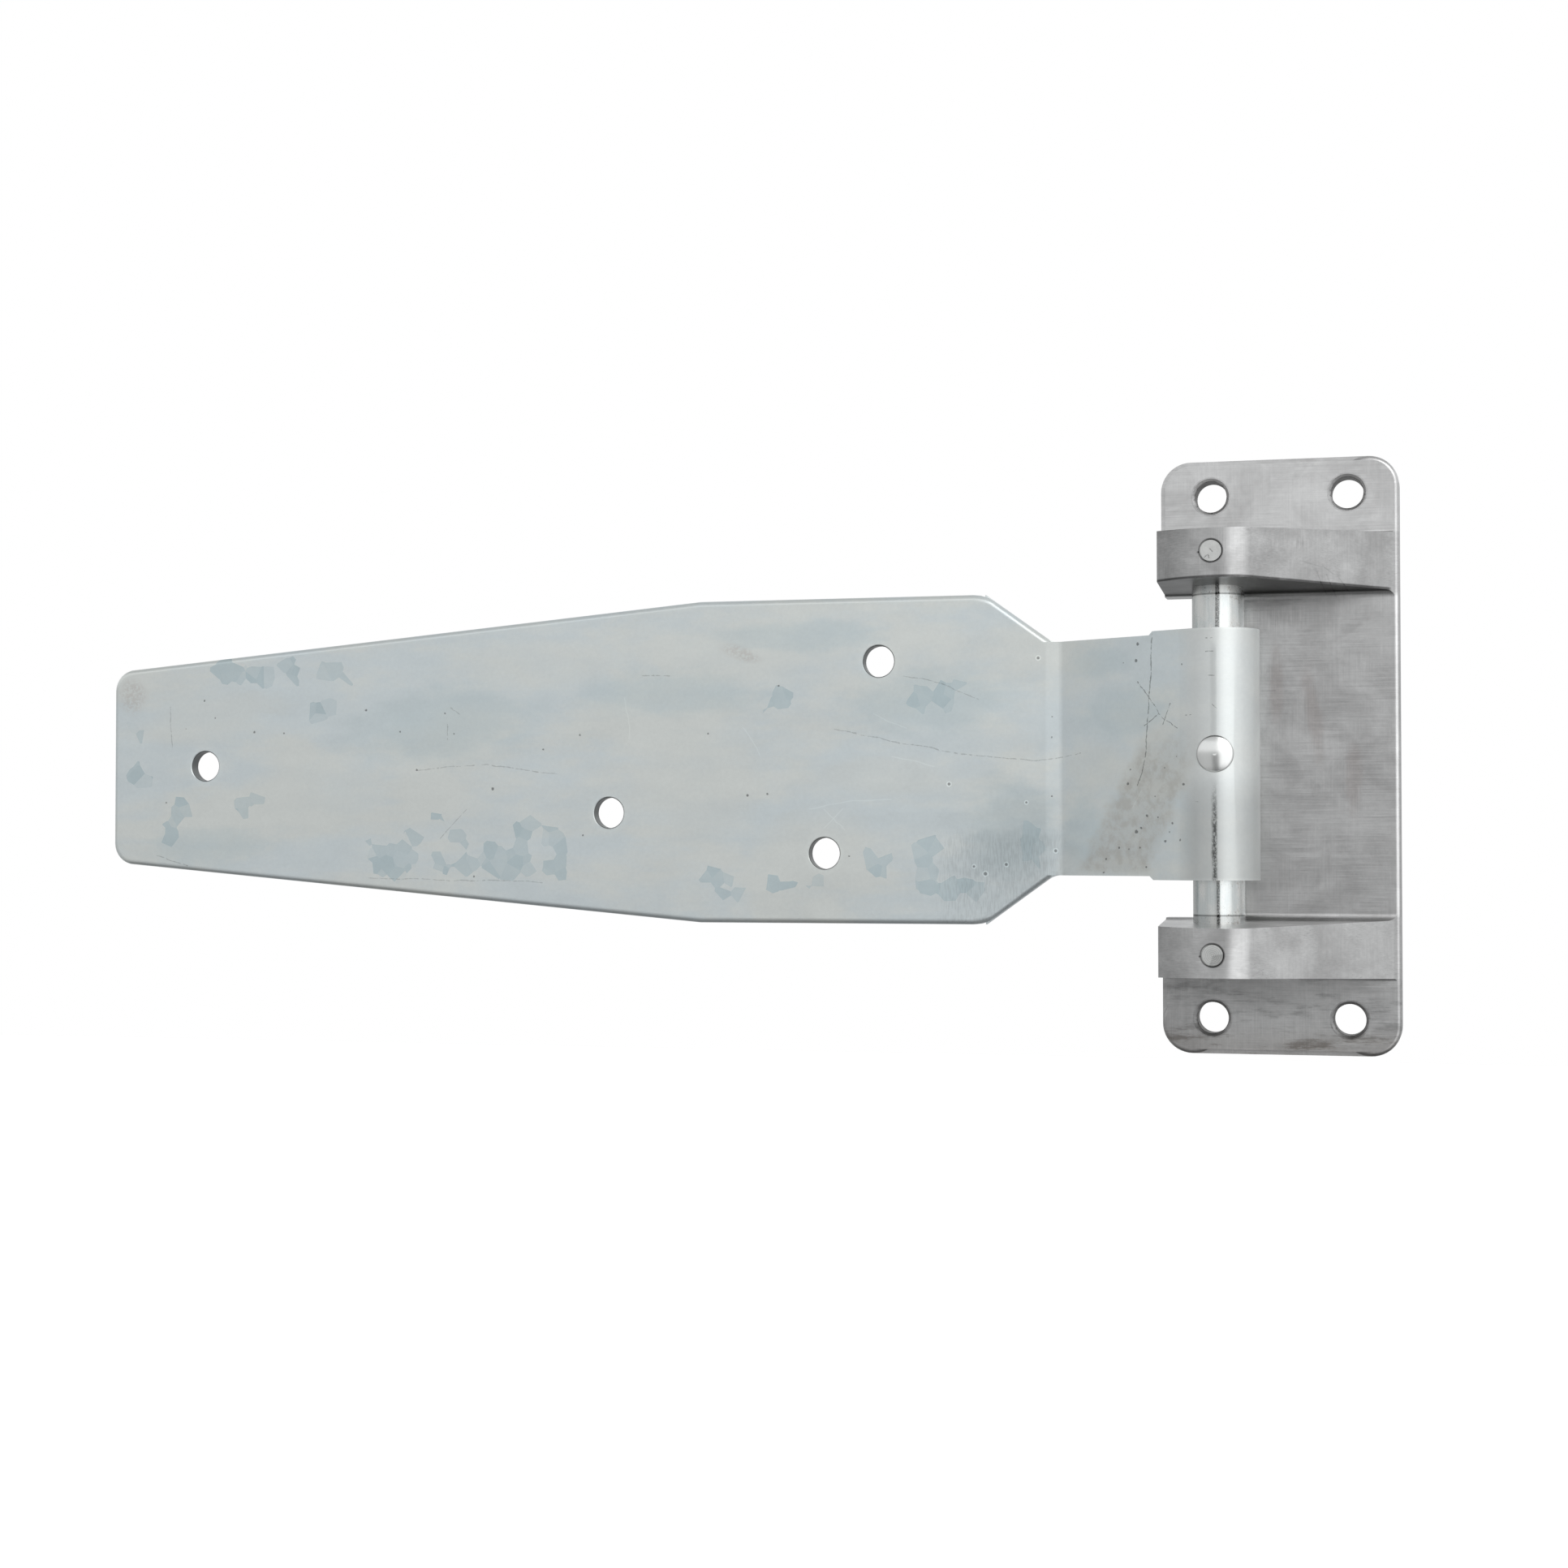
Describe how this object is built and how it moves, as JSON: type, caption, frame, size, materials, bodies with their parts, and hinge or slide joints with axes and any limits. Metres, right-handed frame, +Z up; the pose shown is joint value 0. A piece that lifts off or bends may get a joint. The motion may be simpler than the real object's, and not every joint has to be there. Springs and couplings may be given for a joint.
{
  "type": "heavy-duty strap hinge",
  "caption": "Long tapered strap, cranked and rolled round a steel pin, that swings between the two arms of a bolt-on bracket.",
  "frame": {"origin": "middle of the bracket's four bolt holes, on its mounting face", "axes": "-Y is the front, +Z runs up along the hinge pin, the closed strap points to -X"},
  "size_m": [0.4733, 0.046, 0.199],
  "materials": {
    "bracket_steel": "satin, brushed cast steel",
    "pin_steel": "bright zinc-plated steel",
    "cross_pin_steel": "turned steel",
    "zinc_plate": "pale blue zinc plating, satin",
    "plug_zinc": "bright zinc-plated steel"
  },
  "bodies": {
    "bracket": {"bracket": "bracket_steel", "hinge_pin": "pin_steel", "upper_cross_pin": "cross_pin_steel", "lower_cross_pin": "cross_pin_steel"},
    "strap": {"strap": "zinc_plate", "lubrication_plug": "plug_zinc"}
  },
  "joints": [
    {"name": "swing", "type": "hinge", "parent": "bracket", "child": "strap", "pos_m": [-0.019, -0.0215, 0], "axis": [0, 0, 1], "range_deg": [0, 185]}
  ]
}
